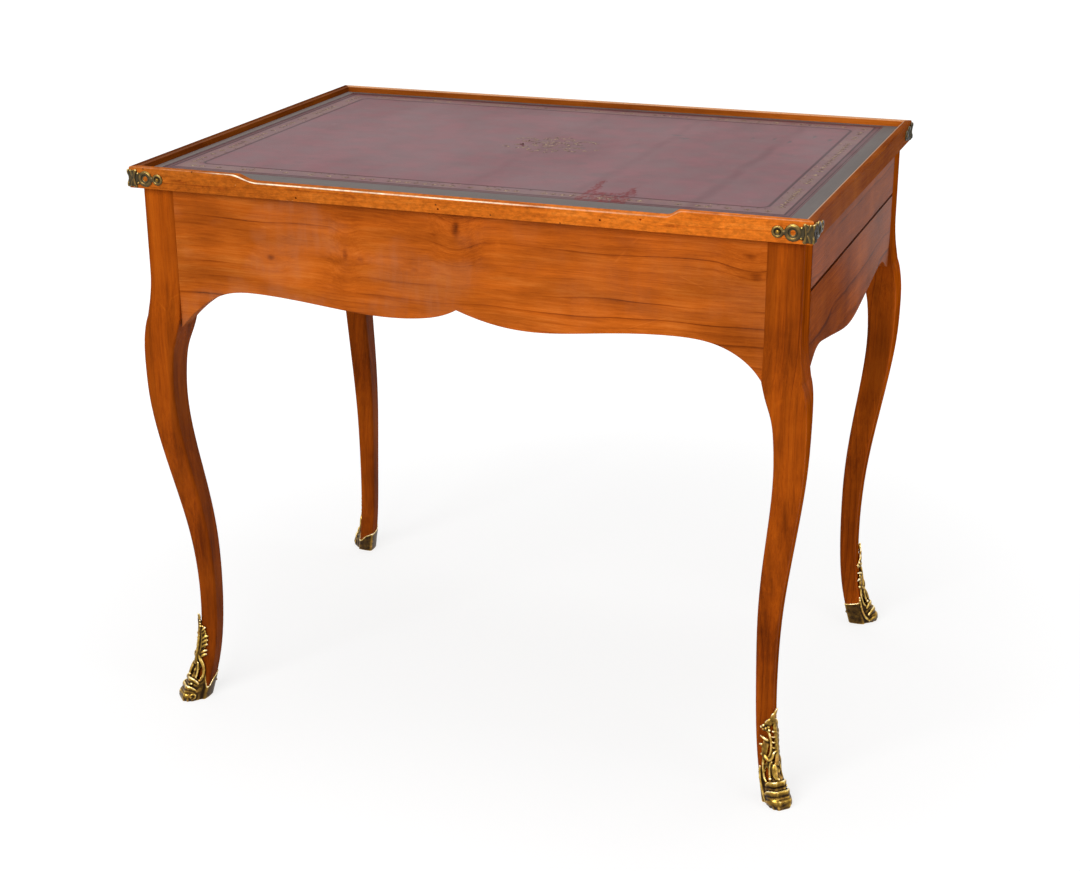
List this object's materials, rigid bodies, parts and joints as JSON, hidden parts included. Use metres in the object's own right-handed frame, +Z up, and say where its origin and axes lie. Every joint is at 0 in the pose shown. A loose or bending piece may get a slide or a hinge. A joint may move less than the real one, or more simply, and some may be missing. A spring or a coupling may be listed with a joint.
{
  "type": "games table",
  "caption": "Four-legged cherry games table on cabriole legs with gilt shoes, a lift-off leather top over a points well, and drawers that slide out at both ends.",
  "frame": {"origin": "on the floor, under the middle of the top", "axes": "+Z up, +X along the length of the top, -Y towards the sitter's side with the dipped rim"},
  "size_m": [0.846, 0.606, 0.73],
  "materials": {
    "cherry": "waxed cherry with a warm orange-brown tone",
    "oak": "bare oak of the hidden pieces",
    "dark_border": "dark stained and polished veneer",
    "dark_field": "polished blackened veneer",
    "points_light": "polished boxwood inlay",
    "points_dark": "polished green-stained inlay",
    "leather": "burgundy skiver with tooled lines",
    "baize": "green wool baize",
    "gilt_bronze": "cast, gilt and darkened in the hollows"
  },
  "bodies": {
    "frame": {"leg_front_left": "cherry", "leg_front_right": "cherry", "leg_back_left": "cherry", "leg_back_right": "cherry", "apron_front": "cherry", "apron_back": "cherry", "end_rail_left": "cherry", "end_rail_right": "cherry", "sabot_front_left": "gilt_bronze", "sabot_front_right": "gilt_bronze", "sabot_back_left": "gilt_bronze", "sabot_back_right": "gilt_bronze", "sabot_pins": "gilt_bronze", "top_dowels": "oak", "floor_bearer_front": "oak", "floor_bearer_back": "oak", "centre_rail": "oak", "drawer_runner_front_left": "oak", "drawer_runner_front_right": "oak", "drawer_runner_back_left": "oak", "drawer_runner_back_right": "oak", "well_lining_front": "cherry", "well_lining_back": "cherry", "well_lining_left": "cherry", "well_lining_right": "cherry", "well_floor": "oak", "well_field": "dark_field", "points_light": "points_light", "points_dark": "points_dark", "centre_bar": "cherry"},
    "top": {"top_panel": "oak", "rim_front": "cherry", "rim_back": "cherry", "rim_left": "cherry", "rim_right": "cherry", "border_front": "dark_border", "border_back": "dark_border", "border_left": "dark_border", "border_right": "dark_border", "leather": "leather", "baize": "baize", "corner_mount_front_left": "gilt_bronze", "corner_mount_front_right": "gilt_bronze", "corner_mount_back_left": "gilt_bronze", "corner_mount_back_right": "gilt_bronze", "corner_mount_pins": "gilt_bronze"},
    "drawer_right": {"drawer_right_front": "cherry", "drawer_right_side_front": "oak", "drawer_right_side_back": "oak", "drawer_right_back": "oak", "drawer_right_bottom": "oak"},
    "drawer_left": {"drawer_left_front": "cherry", "drawer_left_side_front": "oak", "drawer_left_side_back": "oak", "drawer_left_back": "oak", "drawer_left_bottom": "oak"}
  },
  "joints": [
    {"name": "top_lift", "type": "slide", "parent": "frame", "child": "top", "axis": [0, 0, 1], "range_m": [0, 0.3]},
    {"name": "drawer_right_slide", "type": "slide", "parent": "frame", "child": "drawer_right", "axis": [1, 0, 0], "range_m": [0, 0.26]},
    {"name": "drawer_left_slide", "type": "slide", "parent": "frame", "child": "drawer_left", "axis": [-1, 0, 0], "range_m": [0, 0.26]}
  ]
}
